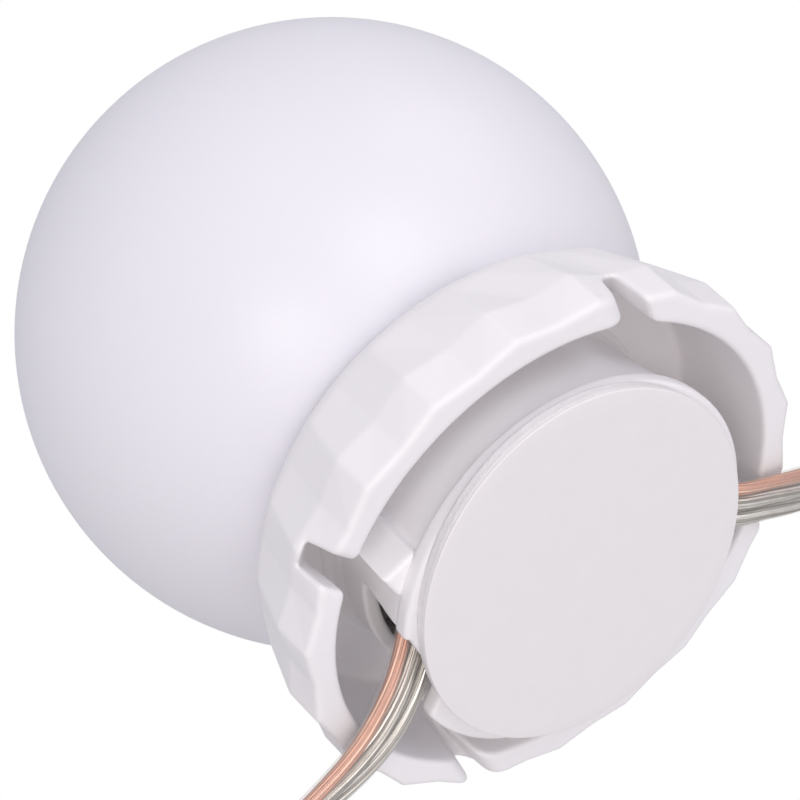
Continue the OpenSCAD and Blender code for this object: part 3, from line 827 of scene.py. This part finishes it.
# ---------------------------------------------------- adhesive pad, globe ---
def oval_lathe(profile, a, b, turn, centre, n=256):
    """profile: (inset from the oval's edge, scale of the oval, z)."""
    rings, faces = [], []
    t = np.arange(n) * 2 * math.pi / n
    c, s = math.cos(math.radians(turn)), math.sin(math.radians(turn))
    nx, ny = np.cos(t) * b, np.sin(t) * a
    ln = np.hypot(nx, ny)
    for inset, scale, z in profile:
        ox = a * np.cos(t) * scale - inset * nx / ln
        oy = b * np.sin(t) * scale - inset * ny / ln
        rings.append(np.stack([centre[0] + ox * c - oy * s,
                               centre[1] + ox * s + oy * c,
                               np.full(n, z)], 1))
    v = np.vstack(rings)
    for i in range(len(rings) - 1):
        for j in range(n):
            k = (j + 1) % n
            faces.append([i * n + j, i * n + k, (i + 1) * n + k,
                          (i + 1) * n + j])
    top = len(v)
    v = np.vstack([v, [[*centre, profile[0][2]], [*centre, profile[-1][2]]]])
    for j in range(n):
        k = (j + 1) % n
        faces.append([top, k, j])
        m = (len(rings) - 1) * n
        faces.append([top + 1, m + j, m + k])
    return v, faces


PAD = dict(a=16.76, b=14.06, turn=106, centre=(0.31, -0.44))
prof = ([(0.0, s, 0.2) for s in (0.25, 0.5, 0.75, 0.9)]
        + [(0.06, 1.0, 0.2), (0.04, 1.0, 0.24), (0.03, 1.0, 0.40),
           (0.07, 1.0, 0.62), (0.10, 1.0, 0.80), (0.08, 1.0, 1.0),
           (0.12, 1.0, 1.1)]
        + [(0.0, s, 1.1) for s in (0.9, 0.75, 0.5, 0.25)])
v, f = oval_lathe(prof, **PAD)
foam = add_mesh("foam_ring", v, f, M["foam"])
stand_for(foam, "lamp_base", "foam_pad")
prof = ([(0.0, s, 0.0) for s in (0.25, 0.5, 0.75, 0.9)]
        + [(0.16, 1.0, 0.0), (0.07, 1.0, 0.015), (0.02, 1.0, 0.05),
           (0.0, 1.0, 0.11), (0.02, 1.0, 0.17), (0.05, 1.0, 0.2)]
        + [(0.0, s, 0.2) for s in (0.9, 0.75, 0.5, 0.25)])
v, f = oval_lathe(prof, **PAD)
liner = add_mesh("release_film", v, f, M["liner"])
stand_for(liner, "lamp_base", "release_liner")


def lathe(profile, n=192):
    """Closed ring of (r, z) points turned round Z; r = 0 makes a pole."""
    pts = np.asarray(profile, float)
    t = np.arange(n) * 2 * math.pi / n
    verts, first = [], []
    for r, z in pts:
        first.append(sum(len(q) for q in verts))
        if r < 1e-9:
            verts.append(np.array([[0, 0, z]]))
        else:
            verts.append(np.stack([r * np.cos(t), r * np.sin(t),
                                   np.full(n, z)], 1))
    faces = []
    for i in range(len(pts) - 1):
        a, b = first[i], first[i + 1]
        la, lb = len(verts[i]), len(verts[i + 1])
        for j in range(n):
            k = (j + 1) % n
            if la == 1 and lb == 1:
                continue
            if la == 1:
                faces.append([a, b + k, b + j])
            elif lb == 1:
                faces.append([a + j, a + k, b])
            else:
                faces.append([a + j, a + k, b + k, b + j])
    return np.vstack(verts), faces


def globe_shell():
    zc, ro, ri = 36.8, 27.5, 26.3
    a0 = math.asin((15.60 - zc) / ro)
    out = [(0, zc + ro)]
    for a in np.linspace(math.pi / 2, a0, 96)[1:]:
        out.append((ro * math.cos(a), zc + ro * math.sin(a)))
    out += [(17.40, 15.48), (17.36, 15.35), (17.35, 15.2)]
    out += [(17.35, 14.12), (17.23, 14.0), (16.27, 14.0), (16.15, 14.12)]
    out += [(16.15, 16.4), (16.35, 16.62)]
    a1 = math.asin((16.75 - zc) / ri)
    for a in np.linspace(a1, math.pi / 2, 74)[:-1]:
        out.append((ri * math.cos(a), zc + ri * math.sin(a)))
    out.append((0, zc + ri))
    return lathe(out[::-1])


v, f = globe_shell()
verts, faces = [v], list(f)
base = len(v)
for a in LUGS:
    ring = []
    n = 12
    for i in range(n + 1):
        t = math.radians(a - 8 + 16 * i / n)
        e = 0.08 if i in (0, n) else 0.0
        for r, z in ((17.2, 14.02 + e), (17.88 - e, 14.02 + e),
                     (17.94 - e, 14.08 + e), (17.94 - e, 14.44 - e),
                     (17.88 - e, 14.5 - e), (17.2, 14.5 - e)):
            ring.append((r * math.cos(t), r * math.sin(t), z))
    verts.append(np.array(ring))
    for i in range(n):
        for j in range(6):
            k = (j + 1) % 6
            q = base + 6 * i
            faces.append([q + j, q + k, q + 6 + k, q + 6 + j])
    faces.append([base + j for j in range(6)][::-1])
    faces.append([base + 6 * n + j for j in range(6)])
    base += len(ring)
globe = add_mesh("globe_shell", np.vstack(verts), faces, M["globe"])
stand_for(globe, "globe", "globe_diffuser")


# ------------------------------------------- CAD shapes with rounded edges --
def soften(node, name, body, mat, width, segments=2, angle=28):
    """A copy of a CAD node with its edges rounded."""
    src = NODES[node]
    me = src.data.copy()
    me.name = name
    bm = bmesh.new()
    bm.from_mesh(me)
    bmesh.ops.remove_doubles(bm, verts=bm.verts, dist=2e-6)
    bmesh.ops.dissolve_limit(bm, angle_limit=math.radians(1.2),
                             verts=bm.verts, edges=bm.edges)
    edges = [e for e in bm.edges if len(e.link_faces) == 2
             and e.calc_face_angle(0) > math.radians(angle)]
    bmesh.ops.bevel(bm, geom=edges, offset=width * MM,
                    offset_type="OFFSET", segments=segments, profile=0.6,
                    affect="EDGES", clamp_overlap=True)
    bmesh.ops.recalc_face_normals(bm, faces=bm.faces)
    bm.to_mesh(me)
    bm.free()
    me.materials.clear()
    me.materials.append(mat)
    me.polygons.foreach_set("use_smooth", [True] * len(me.polygons))
    try:
        me.set_sharp_from_angle(angle=math.radians(34))
    except Exception as err:
        print("sharp edges not set:", err)
    ob = bpy.data.objects.new(name, me)
    scene.collection.objects.link(ob)
    stand_for(ob, body, node)
    return ob


shell_low = soften("dimmer_shell_lower", "case_lower", "lamp_base",
                   M["housing"], 0.35)
shell_up = soften("dimmer_shell_upper", "case_upper", "lamp_base",
                  M["housing"], 0.35)
plug_house = soften("connector_housing", "plug_housing", "lamp_base",
                    M["housing"], 0.25)
clamp = soften("cable_clamp", "clamp_bars", "lamp_base",
               M["housing"], 0.2)


def dress(node, *mats):
    ob = NODES[node]
    ob.data.materials.clear()
    for m in mats:
        ob.data.materials.append(m)


for node, key in (
        ("led_board", "alu"), ("warm_leds", "warm"), ("cool_leds", "cool"),
        ("led_resistors", "chip"), ("board_screws", "zinc"),
        ("clamp_screws", "zinc"), ("core_tails", "copper"),
        ("solder_joints", "solder"), ("feed_ties", "tie"),
        ("link_ties", "tie"), ("connector_pins", "brass"),
        ("connector_boot", "housing"), ("dimmer_board", "green"),
        ("dimmer_chips", "chip"), ("dimmer_wires", "copper"),
        ("tact_switches", "black"), ("power_button", "button"),
        ("colour_button", "button"), ("dim_button", "button"),
        ("power_plunger", "black"), ("colour_plunger", "black"),
        ("dim_plunger", "black"), ("dimmer_boot", "housing"),
        ("dimmer_screws", "zinc"), ("usb_shell", "steel"),
        ("usb_tongue", "tongue"), ("usb_contacts", "brass")):
    dress(node, M[key])


# --------------------------------------------------- light, floor and air ---
def area(name, direction, distance, size, watts, colour=(1, 1, 1)):
    data = bpy.data.lights.new(name, "AREA")
    data.shape = "DISK"
    data.size = size
    data.energy = watts
    data.color = colour
    ob = bpy.data.objects.new(name, data)
    scene.collection.objects.link(ob)
    d = np.array(direction, float)
    d /= np.linalg.norm(d)
    target = np.array([0, 0, 0.025])
    pos = target + d * distance
    z = d
    x = np.cross([0, 0, 1.0], z)
    x /= np.linalg.norm(x)
    y = np.cross(z, x)
    ob.matrix_world = Matrix(((x[0], y[0], z[0], pos[0]),
                              (x[1], y[1], z[1], pos[1]),
                              (x[2], y[2], z[2], pos[2]), (0, 0, 0, 1)))
    return ob


area("soft", (0.562, -0.648, -0.513), 0.9, 0.42, 1.42, (0.86, 0.91, 1.0))
area("small", (-0.166, -0.855, -0.491), 0.9, 0.24, 0.76, (1.0, 0.93, 0.88))
area("right", (0.95, -0.3, 0.1), 1.0, 0.7, 1.10, (1.0, 0.88, 0.79))
area("below", (0.1, -0.35, -0.93), 1.1, 0.8, 1.10, (1.0, 0.90, 0.80))
area("near", (-0.22, -0.66, -0.72), 0.9, 0.60, 1.35, (1.0, 0.94, 0.90))


def make_world():
    w = bpy.data.worlds.new("air")
    scene.world = w
    w.use_nodes = True
    t = w.node_tree
    n = t.nodes
    bg = n["Background"]
    bg.inputs["Color"].default_value = (0.93, 0.93, 1.0, 1)
    bg.inputs["Strength"].default_value = 0.63
    back = n.new("ShaderNodeBackground")
    back.inputs["Color"].default_value = (1, 1, 1, 1)
    back.inputs["Strength"].default_value = 1.0
    mix = n.new("ShaderNodeMixShader")
    lp = n.new("ShaderNodeLightPath")
    t.links.new(lp.outputs["Is Camera Ray"], mix.inputs["Fac"])
    t.links.new(bg.outputs["Background"], mix.inputs[1])
    t.links.new(back.outputs["Background"], mix.inputs[2])
    t.links.new(mix.outputs["Shader"], n["World Output"].inputs["Surface"])


make_world()


def make_floor():
    """A pale floor seen from above only, so that it doesn't hide the lamp
    from the photograph's low viewpoint."""
    me = bpy.data.meshes.new("floor")
    s = 3.0
    me.from_pydata([(-s, -s, -0.0002), (s, -s, -0.0002), (s, s, -0.0002),
                    (-s, s, -0.0002)], [], [(0, 1, 2, 3)])
    me.update()
    m = bpy.data.materials.new("floor_paint")
    m.use_nodes = True
    t = m.node_tree
    n = t.nodes
    p = n["Principled BSDF"]
    co = n.new("ShaderNodeTexCoord")
    noise = n.new("ShaderNodeTexNoise")
    noise.inputs["Scale"].default_value = 30
    t.links.new(co.outputs["Object"], noise.inputs["Vector"])
    ramp = n.new("ShaderNodeValToRGB")
    ramp.color_ramp.elements[0].color = (0.70, 0.70, 0.71, 1)
    ramp.color_ramp.elements[1].color = (0.73, 0.73, 0.735, 1)
    t.links.new(noise.outputs["Fac"], ramp.inputs["Fac"])
    t.links.new(ramp.outputs["Color"], p.inputs["Base Color"])
    p.inputs["Roughness"].default_value = 0.8
    geo = n.new("ShaderNodeNewGeometry")
    clear = n.new("ShaderNodeBsdfTransparent")
    mix = n.new("ShaderNodeMixShader")
    t.links.new(geo.outputs["Backfacing"], mix.inputs["Fac"])
    t.links.new(p.outputs["BSDF"], mix.inputs[1])
    t.links.new(clear.outputs["BSDF"], mix.inputs[2])
    t.links.new(mix.outputs["Shader"], n["Material Output"].inputs["Surface"])
    me.materials.append(m)
    ob = bpy.data.objects.new("floor", me)
    scene.collection.objects.link(ob)
    ob.visible_diffuse = False
    ob.visible_glossy = False
    ob.visible_transmission = False
    ob.visible_shadow = False


make_floor()
scene.view_settings.view_transform = "Standard"
scene.view_settings.look = "None"
